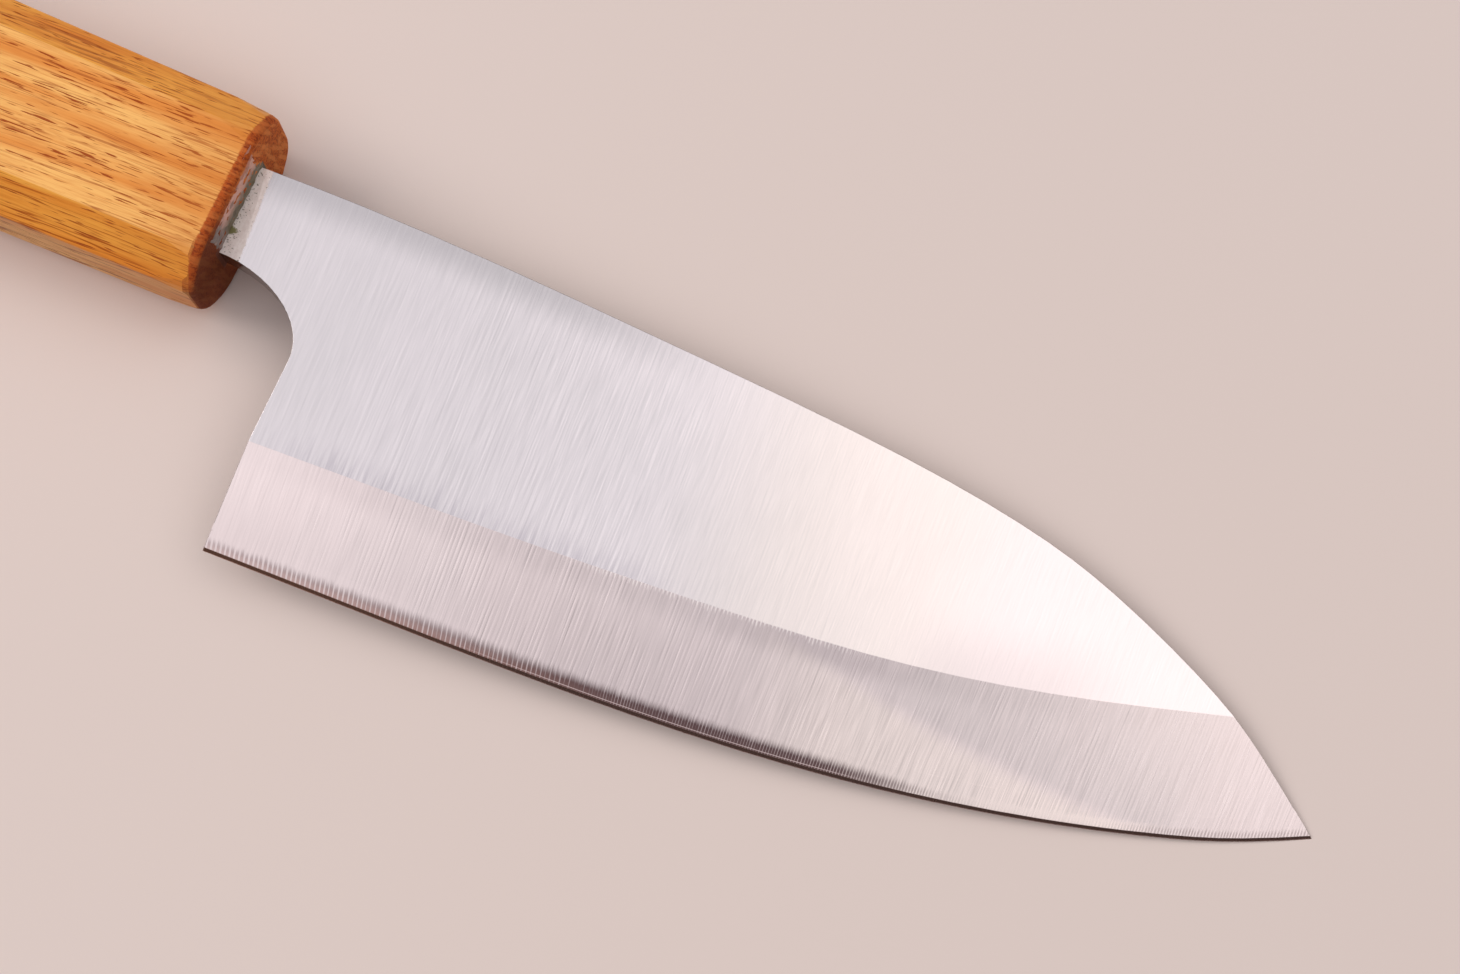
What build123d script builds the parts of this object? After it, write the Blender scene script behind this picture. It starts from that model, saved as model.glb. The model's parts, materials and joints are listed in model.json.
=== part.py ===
from build123d import *
from math import atan2, degrees
import os

# Deba knife for a right-handed cook. The blade is two layers welded in the forge, soft iron with a hard
# steel back that carries the edge. Its tang is set in resin in the bore of an octagonal wooden handle.
# Each piece is made with the origin on the handle's axis, just inside its mouth, X towards the tip, Y
# towards the spine and Z out of the bevelled face. At the end all are laid down on the back, as it rests.

# Blade outline, seen from the bevelled face
blade_reach = 163.9
blade_height = 50.0
heel_setback = 14.4
heel_lean = 0.8
neck_height = 12.7
notch_depth = 15.8

# Blade thickness and the faces that are ground on it
neck_thick = 5.2
tip_thick = 2.0
strip_width = 2.2
strip_skew = 2.0
strip_drop = 0.25
koba_width = 0.48
koba_height = 0.34
hollow_depth = 0.45
hollow_lead = 0.15
steel_thick_heel = 1.3
steel_thick_tip = 0.6
steel_fade_start = 6.0
steel_fade_length = 9.0

# Tang inside the handle
tang_length = 78.0
tang_end_height = 6.0
tang_end_thick = 2.8

# Handle, an octagon that widens from the mouth to the butt
handle_length = 127.0
mouth_width = 26.6
mouth_thick = 20.0
mouth_flat = 17.3
mouth_side = 11.2
butt_width = 29.6
mouth_reach = 0.4
mouth_skew = 0.6
mouth_rake = 0.7
mouth_chamfer = 1.2
mouth_round = 2.0
butt_chamfer = 1.5
arris_radius = 0.6

# Resin round the tang, and the thin bead of it that seals the mouth
resin_gap = 0.7
resin_depth = 4.0
bead_length = 0.2
bead_foot_height = 1.4
bead_foot_thick = 4.6
bead_lip = 0.35

# How far a cutting surface runs on past what it cuts, as a length and as shares of its own width
overrun = 4.0
bevel_overrun_share = 0.3
koba_overrun_share = 3.0

# Points of the spine, as shares of blade_reach and blade_height. The last one lies past the tip.
spine_shares = (
    (0.000, 0.130), (0.067, 0.139), (0.183, 0.141), (0.371, 0.1235), (0.549, 0.096), (0.671, 0.053),
    (0.738, 0.008), (0.793, -0.050), (0.854, -0.131), (0.909, -0.221), (0.964, -0.341), (1.000, -0.426),
    (1.012, -0.454),
)

# Stations along the bevel: share of blade_reach, then the ridge line and the cutting edge as shares of
# blade_height. The first lies behind the heel and the last past the tip.
bevel_shares = (
    (0.061, -0.558, -0.859), (0.287, -0.522, -0.842), (0.491, -0.476, -0.811), (0.642, -0.420, -0.757),
    (0.788, -0.317, -0.665), (0.885, -0.226, -0.578), (0.925, -0.186, -0.534), (0.960, -0.150, -0.487),
    (0.992, -0.116, -0.439), (1.013, -0.094, -0.405),
)

# Stations along the hollow of the back: share of blade_reach, edge and spine as shares of
# blade_height, and share of hollow_depth. Below zero the surface has left the blade.
hollow_shares = (
    (0.095, -0.856, 0.140, -0.40), (0.150, -0.853, 0.142, 0.75), (0.300, -0.841, 0.132, 1.00),
    (0.550, -0.794, 0.096, 1.00), (0.750, -0.694, -0.003, 0.80), (0.880, -0.583, -0.171, 0.40),
    (0.950, -0.500, -0.308, -0.40),
)

neck_top = spine_shares[0][1] * blade_height
handle_flare = (butt_width - mouth_width) / 2 / handle_length
back_level = -neck_thick / 2
face_fall = (neck_thick - tip_thick) / blade_reach


def face_level(x):
    # height of the flat upper face, which falls evenly from the neck to the tip
    return back_level + neck_thick - face_fall * x


def at(x_share, y_share, z=0):
    # a point of the blade, from its shares
    return Vector(x_share * blade_reach, y_share * blade_height, z)


def blade_outline():
    # the edge side stays oversize here, because the bevel cuts it to its line
    spine = Spline([at(x, y) for x, y in spine_shares])
    tip_end = spine @ 1
    below = [at(x, edge) - Vector(0, overrun) for x, ridge, edge in bevel_shares]
    behind = [point for point in below if heel_setback < point.X < tip_end.X]
    lower_corner = Vector(heel_setback - heel_lean, below[0].Y)
    tip_corner = Vector(tip_end.X, behind[-1].Y)
    neck_bottom = neck_top - neck_height
    notch = EllipticalCenterArc(
        (0, -notch_depth), heel_setback, notch_depth + neck_bottom, start_angle=0, arc_size=90
    )
    border = Polyline(tip_end, tip_corner, *reversed(behind), lower_corner, (heel_setback, -notch_depth))
    mouth = Line((0, neck_bottom), (0, neck_top))
    return make_face([spine, border, notch, mouth])


def ruled_cutter(upper, lower):
    # all that lies above the surface ruled between two lines of points
    surface = Face.make_surface_from_curves(Edge.make_spline(upper), Edge.make_spline(lower))
    return extrude(surface, amount=blade_height, dir=(0, 0, 1))


def bevel_cutter():
    # the wide bevel, from the ridge line down to the top of the narrow edge bevel
    upper = []
    lower = []
    for x, ridge, edge in bevel_shares:
        top = at(x, ridge, face_level(x * blade_reach))
        foot = at(x, edge, back_level) + Vector(0, koba_width, koba_height)
        beyond = (top - foot) * bevel_overrun_share
        upper.append(top + beyond)
        lower.append(foot - beyond)
    return ruled_cutter(upper, lower)


def koba_cutter():
    # the narrow steep bevel that makes the cutting edge
    slope = Vector(0, koba_width, koba_height)
    on_edge = [at(x, edge, back_level) for x, ridge, edge in bevel_shares]
    reach_down = 2 * overrun / koba_width
    upper = [point + slope * koba_overrun_share for point in on_edge]
    lower = [point - slope * reach_down for point in on_edge]
    return ruled_cutter(upper, lower)


def hollow_cutter():
    # a shallow hollow lofted through arcs, each from the cutting edge to the spine
    sections = []
    for x, edge, spine, depth_share in hollow_shares:
        low = back_level - hollow_lead
        start = at(x, edge, low)
        end = at(x, spine, low)
        crown = at(x, (edge + spine) / 2, back_level + hollow_depth * depth_share)
        under = Vector(0, 0, -overrun)
        roof = ThreePointArc(start, crown, end)
        floor = Polyline(end, end + under, start + under, start)
        sections.append(make_face([roof, floor]))
    return loft(sections)


def tang():
    mouth = Plane.YZ * Pos(neck_top - neck_height / 2, 0) * Rectangle(neck_height, neck_thick)
    end = Plane.YZ.offset(-tang_length) * Rectangle(tang_end_height, tang_end_thick)
    return loft([mouth, end], ruled=True)


def steel_region():
    # the hard layer lies along the back and fades out under the neck
    fade_end = steel_fade_start + steel_fade_length
    far = blade_reach + overrun
    fall = (steel_thick_heel - steel_thick_tip) / blade_reach
    low = back_level - overrun
    profile = Polyline(
        (steel_fade_start, 0, low),
        (steel_fade_start, 0, back_level),
        (fade_end, 0, back_level + steel_thick_heel - fall * fade_end),
        (far, 0, back_level + steel_thick_heel - fall * far),
        (far, 0, low),
        close=True,
    )
    return extrude(make_face(profile), amount=2 * blade_height, dir=(0, 1, 0), both=True)


def neck_strip():
    # the strip ground across the neck beside the handle, a little out of square and falling to it
    fall = strip_drop / strip_width
    middle = (strip_width, neck_top - neck_height / 2, face_level(strip_width))
    return Plane(origin=middle, z_dir=(-fall, -fall * strip_skew / neck_height, 1))


def whole_blade():
    flat_face = Plane(
        origin=(0, 0, face_level(0)), x_dir=(1, 0, -face_fall), z_dir=(face_fall, 0, 1)
    )
    body = extrude(Pos(0, 0, back_level) * blade_outline(), amount=neck_thick + overrun)
    body = split(body, bisect_by=flat_face, keep=Keep.BOTTOM)
    body = split(body, bisect_by=neck_strip(), keep=Keep.BOTTOM)
    body = body - bevel_cutter()
    body = body - koba_cutter()
    body = body - hollow_cutter()
    return body + tang()


def mouth_face():
    # the sawn end of the handle, a little out of square both ways
    return Plane(origin=(mouth_reach, 0, 0), z_dir=(1, -mouth_skew / mouth_width, mouth_rake / mouth_thick))


def bore():
    # the tang's own taper, opened all round by the resin's thickness, and on past the mouth
    mouth = Plane.YZ * Pos(neck_top - neck_height / 2, 0)
    mouth = mouth * Rectangle(neck_height + 2 * resin_gap, neck_thick + 2 * resin_gap)
    end = Plane.YZ.offset(-tang_length - resin_depth)
    end = end * Rectangle(tang_end_height + 2 * resin_gap, tang_end_thick + 2 * resin_gap)
    return loft([mouth, end], ruled=True) + extrude(mouth, amount=overrun)


def handle():
    # a block planed down to eight flat sides, which all lean out by the same slope towards the butt
    length = handle_length + overrun
    body = Box(length, 2 * butt_width, 2 * butt_width, align=(Align.MAX, Align.CENTER, Align.CENTER))
    body = split(Pos(overrun, 0, 0) * body, bisect_by=mouth_face(), keep=Keep.BOTTOM)
    corner = Vector(0, mouth_thick - mouth_side, mouth_width - mouth_flat).normalized()
    corner_reach = (corner.Y * mouth_width + corner.Z * mouth_side) / 2
    sides = (
        (Vector(0, 1, 0), mouth_width / 2),
        (Vector(0, 0, 1), mouth_thick / 2),
        (corner, corner_reach),
        (Vector(0, -corner.Y, corner.Z), corner_reach),
    )
    for outward, reach in sides:
        for way in (outward, -outward):
            side = Plane(origin=way * reach, z_dir=way + Vector(handle_flare, 0, 0))
            body = split(body, bisect_by=side, keep=Keep.BOTTOM)
    body = chamfer(body.faces().sort_by(Axis.X)[-1].edges(), mouth_chamfer)
    body = fillet(body.faces().sort_by(Axis.X)[-1].edges(), mouth_round)
    body = chamfer(body.faces().sort_by(Axis.X)[0].edges(), butt_chamfer)
    arrises = body.edges().filter_by(lambda edge: edge.length > handle_length / 2)
    return fillet(arrises, arris_radius) - bore()


def tang_resin(blade):
    return split(bore(), bisect_by=mouth_face(), keep=Keep.BOTTOM) - blade


def mouth_seal(blade):
    # smeared thinly over the sawn end above and below the neck, and hardly up its sides
    centre = Pos(neck_top - neck_height / 2, 0)
    foot = Rectangle(neck_height + 2 * bead_foot_height, neck_thick + 2 * bead_foot_thick)
    foot = Plane.YZ.offset(mouth_reach) * centre * foot
    lip = Plane.YZ.offset(mouth_reach + bead_length) * centre
    lip = lip * Rectangle(neck_height + 2 * bead_lip, neck_thick + 2 * bead_lip)
    bead = loft([foot, lip], ruled=True) + extrude(foot, amount=-mouth_reach)
    return split(bead, bisect_by=mouth_face(), keep=Keep.TOP) - blade


def laid_down(pieces):
    # The knife rests on its tip and on the front edge of the handle's lower flat, so it is turned about
    # Y until both are level. The origin then goes to the middle of the space it takes, at the bottom.
    edge_reach = mouth_reach + mouth_rake / 2 - mouth_chamfer
    edge_level = handle_flare * edge_reach - mouth_thick / 2
    tilt = degrees(atan2(back_level - edge_level, blade_reach - edge_reach))
    turned = {name: Rot(0, tilt, 0) * piece for name, piece in pieces.items()}
    boxes = [piece.bounding_box() for piece in turned.values()]
    middle_x = (min(box.min.X for box in boxes) + max(box.max.X for box in boxes)) / 2
    middle_y = (min(box.min.Y for box in boxes) + max(box.max.Y for box in boxes)) / 2
    bottom = min(box.min.Z for box in boxes)
    middle = Pos(-middle_x, -middle_y, -bottom)
    print("tilt", tilt, "moved by", middle.position)
    return {name: middle * piece for name, piece in turned.items()}


def main():
    blade = whole_blade()
    pieces = {
        "iron_body": blade - steel_region(),
        "steel_layer": steel_region() & blade,
        "handle": handle(),
        "tang_resin": tang_resin(blade),
        "mouth_seal": mouth_seal(blade),
    }
    os.makedirs("parts", exist_ok=True)
    for name, piece in laid_down(pieces).items():
        export_step(piece, f"parts/{name}.step")
        print(name, len(piece.solids()), round(piece.volume, 1), piece.bounding_box())


main()
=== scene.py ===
# %% [markdown]
# This lesson dresses a deba knife, a heavy fish knife with one wide bevel and an octagonal oak handle.
# Its construction is already packed as solids. The blade's solids have the right shape, so they stay and
# only get their steel. The handle and its resin seal are modelled again, because wood and hand-smeared
# resin have soft arrises and ragged borders that a solid model leaves out.

# %% Load the frame
import bpy
import json
import math
from mathutils import Matrix, Vector


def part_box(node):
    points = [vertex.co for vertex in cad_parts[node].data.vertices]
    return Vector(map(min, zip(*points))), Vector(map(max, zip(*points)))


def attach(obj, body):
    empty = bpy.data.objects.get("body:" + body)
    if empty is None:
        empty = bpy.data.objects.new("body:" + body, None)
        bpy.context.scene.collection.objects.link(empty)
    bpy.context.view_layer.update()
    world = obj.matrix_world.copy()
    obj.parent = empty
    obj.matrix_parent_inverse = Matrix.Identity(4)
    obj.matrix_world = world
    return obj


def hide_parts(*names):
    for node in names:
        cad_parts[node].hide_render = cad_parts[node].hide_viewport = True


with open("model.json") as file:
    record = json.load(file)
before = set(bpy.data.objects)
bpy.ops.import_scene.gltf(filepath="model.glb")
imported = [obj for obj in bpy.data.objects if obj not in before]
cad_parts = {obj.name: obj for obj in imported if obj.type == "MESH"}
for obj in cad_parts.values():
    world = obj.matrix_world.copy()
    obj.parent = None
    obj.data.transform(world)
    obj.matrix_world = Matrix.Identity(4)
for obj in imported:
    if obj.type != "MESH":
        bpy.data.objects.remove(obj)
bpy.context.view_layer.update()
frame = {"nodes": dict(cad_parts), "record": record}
print("frame loaded:", sorted(frame["nodes"]))

# %% [markdown]
# The knife lies tilted, on its tip and on the lower edge of the handle's mouth, and a tilted thing is
# awkward to model. So the pieces are modelled in the knife's own frame, in millimetres: the origin is on
# the handle's axis by its mouth, X runs to the tip, Y to the spine and Z out of the bevelled face. One
# matrix then lays them down. It is worked out from the blade's face, whose normal the record holds.

# %% The knife's own frame
MM = 0.001
BLADE_REACH = 163.9
BLADE_HEIGHT = 50.0
NECK_THICK = 5.2
TIP_THICK = 2.0
FACE_FALL = (NECK_THICK - TIP_THICK) / BLADE_REACH
BACK_LEVEL = -NECK_THICK / 2

face = next(m for m in frame["record"]["mounts"] if m["name"] == "blade_face")
tilt = math.atan2(face["axis"][0], face["axis"][2]) - math.atan(FACE_FALL)
turn = Matrix.Rotation(tilt, 4, "Y")
steel_low, steel_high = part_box("steel_layer")
handle_low, handle_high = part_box("handle")
tip = turn @ Vector((BLADE_REACH, 0, BACK_LEVEL)) * MM
mouth = Vector((steel_high.x - tip.x, (handle_low.y + handle_high.y) / 2, steel_low.z - tip.z))
LAID_DOWN = Matrix.Translation(mouth) @ turn @ Matrix.Scale(MM, 4)
print("tilt", round(math.degrees(tilt), 3), "degrees, mouth at", [round(v / MM, 2) for v in mouth])


def at(x, y, z):
    """A point of the knife's own frame, in the scene."""
    return LAID_DOWN @ Vector((x, y, z))


# %% [markdown]
# The camera looks down on the blade from a little behind the edge. It could be placed by eye, but then
# every later comparison would drift, so its place and its directions are given in the knife's own frame.

# %% Camera
FRAME_WIDTH = 1460
FOCAL_PIXELS = 2200
EYE = (71.6, -59.6, 287.8)
RIGHT = Vector((0.92195, 0.37976, 0.07607))
DOWN = Vector((0.38720, -0.90829, -0.15841))

camera_data = bpy.data.cameras.new("camera")
camera_data.sensor_width = 36
camera_data.lens = FOCAL_PIXELS / FRAME_WIDTH * camera_data.sensor_width
camera_data.clip_start = 0.01
camera = bpy.data.objects.new("camera", camera_data)
bpy.context.collection.objects.link(camera)
spin = turn.to_3x3()
right = (spin @ RIGHT).normalized()
up = (spin @ -DOWN).normalized()
back = right.cross(up)
axes = Matrix((right, back.cross(right), back)).transposed()
camera.matrix_world = Matrix.Translation(at(*EYE)) @ axes.to_4x4()
bpy.context.scene.camera = camera
bpy.context.scene.view_settings.view_transform = "Standard"
print("lens", round(camera_data.lens, 2), "mm, eye at", [round(v, 3) for v in camera.location])

# %% [markdown]
# Polished steel shows its surroundings more than itself, so the studio is half of the blade's look. It is
# a white tent over pale paper. A picture of a room could be wrapped round the scene, but a few tones by
# height are enough: bright overhead and dim towards the horizon.

# %% Studio: floor and tent
FLOOR_SIZE = 6
bpy.ops.object.select_all(action="DESELECT")
bpy.ops.mesh.primitive_plane_add(size=FLOOR_SIZE)
floor = bpy.context.object
floor.name = "floor"
paper = bpy.data.materials.new("pale_paper")
paper.use_nodes = True
paper_shader = paper.node_tree.nodes["Principled BSDF"]
paper_shader.inputs["Base Color"].default_value = (0.745, 0.645, 0.61, 1)
paper_shader.inputs["Roughness"].default_value = 0.9
floor.data.materials.append(paper)

world = bpy.data.worlds.new("tent")
bpy.context.scene.world = world
world.use_nodes = True
sky = world.node_tree
direction = sky.nodes.new("ShaderNodeTexCoord").outputs["Generated"]
height = sky.nodes.new("ShaderNodeSeparateXYZ")
sky.links.new(direction, height.inputs[0])
tent = sky.nodes.new("ShaderNodeValToRGB")
sky.links.new(height.outputs["Z"], tent.inputs["Fac"])
TENT = (
    (0.00, (0.12, 0.10, 0.095)),
    (0.45, (0.16, 0.14, 0.13)),
    (0.78, (0.92, 0.89, 0.89)),
    (1.00, (1.05, 1.03, 1.06)),
)
while len(tent.color_ramp.elements) < len(TENT):
    tent.color_ramp.elements.new(0.5)
for stop, (place, colour) in zip(tent.color_ramp.elements, TENT):
    stop.position = place
    stop.color = (*colour, 1)
print("tent with", len(TENT), "tones from the ground to overhead")

# %% [markdown]
# No tent is even: its cloth is brighter where a lamp stands behind it and dimmer at a fold. A satin blade
# shows such patches as slow changes of tone. Each is a soft round spot, by its two angles, its radius and
# how much it adds to the brightness, or takes away.

# %% Studio: patches on the tent
def upward(along, across):
    """The direction under two angles in degrees from the knife's upright, along the blade and across it."""
    way = Vector((math.tan(math.radians(along)), math.tan(math.radians(across)), 1))
    return (spin @ way).normalized()


PATCHES = (
    (-15, -33, 20, 0.42),
    (2, -19, 14, -0.18),
    (9, -10, 8, -0.08),
)


def patched(glow, along, across, radius, change):
    """The tent's glow with one more patch."""
    facing = sky.nodes.new("ShaderNodeVectorMath")
    facing.operation = "DOT_PRODUCT"
    sky.links.new(direction, facing.inputs[0])
    facing.inputs[1].default_value = upward(along, across)
    spot = sky.nodes.new("ShaderNodeMapRange")
    spot.interpolation_type = "SMOOTHSTEP"
    sky.links.new(facing.outputs["Value"], spot.inputs["Value"])
    spot.inputs["From Min"].default_value = math.cos(math.radians(radius))
    spot.inputs["From Max"].default_value = 1.0
    spot.inputs["To Min"].default_value = 1.0
    spot.inputs["To Max"].default_value = 1.0 + change
    scaled = sky.nodes.new("ShaderNodeVectorMath")
    scaled.operation = "SCALE"
    sky.links.new(glow, scaled.inputs[0])
    sky.links.new(spot.outputs["Result"], scaled.inputs["Scale"])
    return scaled.outputs["Vector"]


glow = tent.outputs["Color"]
for patch in PATCHES:
    glow = patched(glow, *patch)
sky.links.new(glow, sky.nodes["Background"].inputs["Color"])
print("tent with", len(PATCHES), "patches")

# %% [markdown]
# Two soft boxes hang in the tent, a warm one beyond the tip and a cooler one by the handle. They could be
# planes that glow, but an area light gives less noise. What matters is where the blade sees a box, so it
# is given by two angles from the knife's upright, along the blade and across it, and by how wide and how
# bright it looks. Its power grows with its area, so that the brightness stays as given.

# %% Studio: soft boxes
BOX_DISTANCE = 1200


def soft_box(name, along, across, wide, high, brightness, colour):
    """A rectangular light, placed by the angles in degrees under which the blade sees it."""
    way = upward(along, across)
    data = bpy.data.lights.new(name, "AREA")
    data.shape = "RECTANGLE"
    data.size, data.size_y = (
        2 * BOX_DISTANCE * math.tan(math.radians(angle / 2)) * MM for angle in (wide, high)
    )
    data.energy = brightness * math.pi * data.size * data.size_y
    data.color = colour
    box = bpy.data.objects.new(name, data)
    bpy.context.collection.objects.link(box)
    middle = at(BLADE_REACH / 2, -BLADE_HEIGHT / 2, 0)
    turned = way.to_track_quat("Z", "Y").to_matrix().to_4x4()
    box.matrix_world = Matrix.Translation(middle + way * BOX_DISTANCE * MM) @ turned
    box.visible_camera = False
    return box


tip_box = soft_box("tip_box", 22, 19, 40, 34, 0.70, (1.0, 0.88, 0.80))
handle_box = soft_box("handle_box", -52, -2, 30, 30, 3.6, (1.0, 0.93, 0.87))
print("boxes of", [round(box.data.size, 2) for box in (tip_box, handle_box)], "metres")

# %% [markdown]
# Every pattern on the knife follows its own directions: grinding marks cross the blade, grain runs along
# the handle. Each material could work these out anew, but a small helper keeps them all in step. It
# holds one material's nodes, starts from the place on the knife in millimetres, and wires sums, soft
# steps and noises in one line each.

# %% Helper: a bench for mixing materials
class Bench:
    """One material's nodes, with x, y and z on the knife in millimetres as ready outputs."""

    def __init__(self, name, roughness, metallic=0.0):
        self.material = bpy.data.materials.new(name)
        self.material.use_nodes = True
        self.nodes = self.material.node_tree.nodes
        self.shader = self.nodes["Principled BSDF"]
        self.set(Metallic=metallic, Roughness=roughness)
        place = self.put("ShaderNodeMapping")
        self.feed(place.inputs["Vector"], self.put("ShaderNodeTexCoord").outputs["Object"])
        place.inputs["Scale"].default_value = (1 / MM,) * 3
        place.inputs["Rotation"].default_value = (0, -tilt, 0)
        place.inputs["Location"].default_value = turn.inverted() @ mouth / -MM
        apart = self.put("ShaderNodeSeparateXYZ")
        self.feed(apart.inputs[0], place.outputs[0])
        self.x, self.y, self.z = apart.outputs
        self.normal = self.put("ShaderNodeNewGeometry").outputs["True Normal"]

    def set(self, **values):
        """Feeds the shader's own sockets, with underscores for the spaces in their names."""
        for name, value in values.items():
            self.feed(self.shader.inputs[name.replace("_", " ")], value)

    def put(self, kind, **settings):
        node = self.nodes.new(kind)
        for name, value in settings.items():
            setattr(node, name, value)
        return node

    def feed(self, socket, value):
        """Links an output to a socket, or sets the socket to a plain value."""
        if isinstance(value, bpy.types.NodeSocket):
            self.material.node_tree.links.new(value, socket)
        else:
            socket.default_value = value

    def math(self, operation, *values):
        """One sum, of the kind that the operation names."""
        node = self.put("ShaderNodeMath", operation=operation)
        for socket, value in zip(node.inputs, values):
            self.feed(socket, value)
        return node.outputs[0]

    def times(self, product, *factors):
        """The product of outputs and numbers."""
        for factor in factors:
            product = self.math("MULTIPLY", product, factor)
        return product

    def line(self, base, *terms):
        """base plus the sum of each output times its factor."""
        total = base
        for factor, output in terms:
            total = self.math("MULTIPLY_ADD", output, factor, total)
        return total

    def point(self, x, y, z=0.0):
        node = self.put("ShaderNodeCombineXYZ")
        for socket, value in zip(node.inputs, (x, y, z)):
            self.feed(socket, value)
        return node.outputs[0]

    def lean(self, way):
        """How far the face leans to a direction of the knife's own frame, from -1 to 1."""
        node = self.put("ShaderNodeVectorMath", operation="DOT_PRODUCT")
        self.feed(node.inputs[0], self.normal)
        node.inputs[1].default_value = spin @ Vector(way)
        return node.outputs["Value"]

    def step(self, value, low, high, start=0.0, end=1.0):
        """A soft step: start up to low, end from high on."""
        node = self.put("ShaderNodeMapRange", interpolation_type="SMOOTHSTEP")
        for socket, given in zip(node.inputs, (value, low, high, start, end)):
            self.feed(socket, given)
        return node.outputs[0]

    def along(self, low, high, start=0.0, end=1.0):
        """A soft step along the knife, between two places in millimetres."""
        return self.step(self.x, low, high, start, end)

    def blend_number(self, share, under, over):
        """The number under, or as much as share says the number over."""
        apart = self.line(0.0, (1.0, over), (-1.0, under))
        return self.line(0.0, (1.0, under), (1.0, self.times(share, apart)))

    def noise(self, grain, place=None, detail=2.0, roughness=0.5, seed=0.0):
        """A noise from 0 to 1, with grains of the given lengths in millimetres along the place's axes."""
        node = self.put("ShaderNodeTexNoise")
        place = place or (self.x, self.y, self.z)
        scaled = [self.math("MULTIPLY_ADD", value, 1 / size, seed) for value, size in zip(place, grain)]
        given = {"Vector": self.point(*scaled), "Scale": 1.0, "Detail": detail, "Roughness": roughness}
        for name, value in given.items():
            self.feed(node.inputs[name], value)
        return node.outputs["Fac"]

    def blend(self, share, under, over, way="MIX", data="RGBA"):
        """Lays the colour or direction over on the one under, as much as share says."""
        node = self.put("ShaderNodeMix", data_type=data, blend_type=way)
        sockets = [socket for socket in node.inputs if socket.enabled]
        for socket, value in zip(sockets, (share, under, over)):
            if isinstance(value, tuple):
                value = (*value, 1.0)
            self.feed(socket, value)
        return next(socket for socket in node.outputs if socket.enabled)

    def bump(self, height, depth, normal=None):
        """Lets the light see a height from 0 to 1 as relief, depth metres deep."""
        node = self.put("ShaderNodeBump")
        node.inputs["Distance"].default_value = depth
        self.feed(node.inputs["Height"], height)
        if normal is not None:
            self.feed(node.inputs["Normal"], normal)
        self.set(Normal=node.outputs[0])


# %% [markdown]
# The handle is a stick of oak, planed down to eight flats that widen towards the butt, and sawn a little
# out of square at the mouth. It could be drawn as an octagon and extruded, but then the two ends would
# have to be matched by hand. Planing a plain block, as the maker does, gives true flats by itself.

# %% Handle: the planed block
HANDLE_LENGTH = 127.0
MOUTH_WIDTH = 26.6
MOUTH_THICK = 20.0
MOUTH_FLAT = 17.3
MOUTH_SIDE = 11.2
BUTT_WIDTH = 29.6
MOUTH_REACH = 0.4
SKEW = 0.6 / MOUTH_WIDTH
RAKE = 0.7 / MOUTH_THICK
OVERRUN = 4.0
FLARE = (BUTT_WIDTH - MOUTH_WIDTH) / 2 / HANDLE_LENGTH
MOUTH_AWAY = Vector((1, -SKEW, RAKE)).normalized()


def mode(name):
    """Goes over to EDIT or OBJECT mode."""
    bpy.ops.object.mode_set(mode=name)


def new_block(name, low, high):
    """A block between two corners, alone selected and open in edit mode."""
    bpy.ops.object.select_all(action="DESELECT")
    low, high = Vector(low), Vector(high)
    bpy.ops.mesh.primitive_cube_add(size=1, location=(low + high) / 2, scale=high - low)
    block = bpy.context.object
    block.name = name
    block.data.name = name
    bpy.ops.object.transform_apply(location=True, rotation=True, scale=True)
    mode("EDIT")
    return block


def plane_off(point, outward):
    """Takes off all that lies beyond a plane, and closes the cut."""
    bpy.ops.mesh.select_all(action="SELECT")
    bpy.ops.mesh.bisect(plane_co=point, plane_no=outward, use_fill=True, clear_outer=True)


slope = Vector((0, MOUTH_THICK - MOUTH_SIDE, MOUTH_WIDTH - MOUTH_FLAT)).normalized()
slope_reach = (slope.y * MOUTH_WIDTH + slope.z * MOUTH_SIDE) / 2
SIDES = (
    (Vector((0, 1, 0)), MOUTH_WIDTH / 2),
    (Vector((0, 0, 1)), MOUTH_THICK / 2),
    (slope, slope_reach),
    (Vector((0, -slope.y, slope.z)), slope_reach),
)
wide = BUTT_WIDTH
handle = new_block("handle_wood", (-HANDLE_LENGTH, -wide, -wide), (OVERRUN, wide, wide))
for outward, reach in SIDES:
    for way in (outward, -outward):
        plane_off(way * reach, way + Vector((FLARE, 0, 0)))
plane_off((MOUTH_REACH, 0, 0), MOUTH_AWAY)
mode("OBJECT")
print("handle planed to", len(handle.data.polygons), "faces")

# %% [markdown]
# The long arrises get a few strokes of sandpaper, so that they don't bite the hand. They could be rounded
# in the shading alone, but the handle is also a shape by itself. So they are bevelled in the mesh.

# %% Handle: the arrises
ARRIS = 0.3
ARRIS_CUTS = 3
NEARLY_ALONG = 0.9


def break_arrises(piece, width, segments):
    """Bevels the edges that run along the piece, and leaves it open in edit mode."""
    mode("EDIT")
    bpy.ops.mesh.select_mode(type="EDGE")
    bpy.ops.mesh.select_all(action="DESELECT")
    mode("OBJECT")
    for edge in piece.data.edges:
        start, end = (piece.data.vertices[index].co for index in edge.vertices)
        edge.select = abs((end - start).normalized().x) > NEARLY_ALONG
    mode("EDIT")
    bpy.ops.mesh.bevel(offset=width, segments=segments)


break_arrises(handle, ARRIS, ARRIS_CUTS)
print("arrises broken by", ARRIS, "mm")

# %% [markdown]
# Just before the mouth the sandpaper took more, so the octagon's corners fade into curves, and at both
# ends the wood rolls over. A bevel could round an end in one go, but it folds over itself where a corner
# is already rounded. So the ends are planed like the sides, with many flat cuts that lie on the curve.

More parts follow.
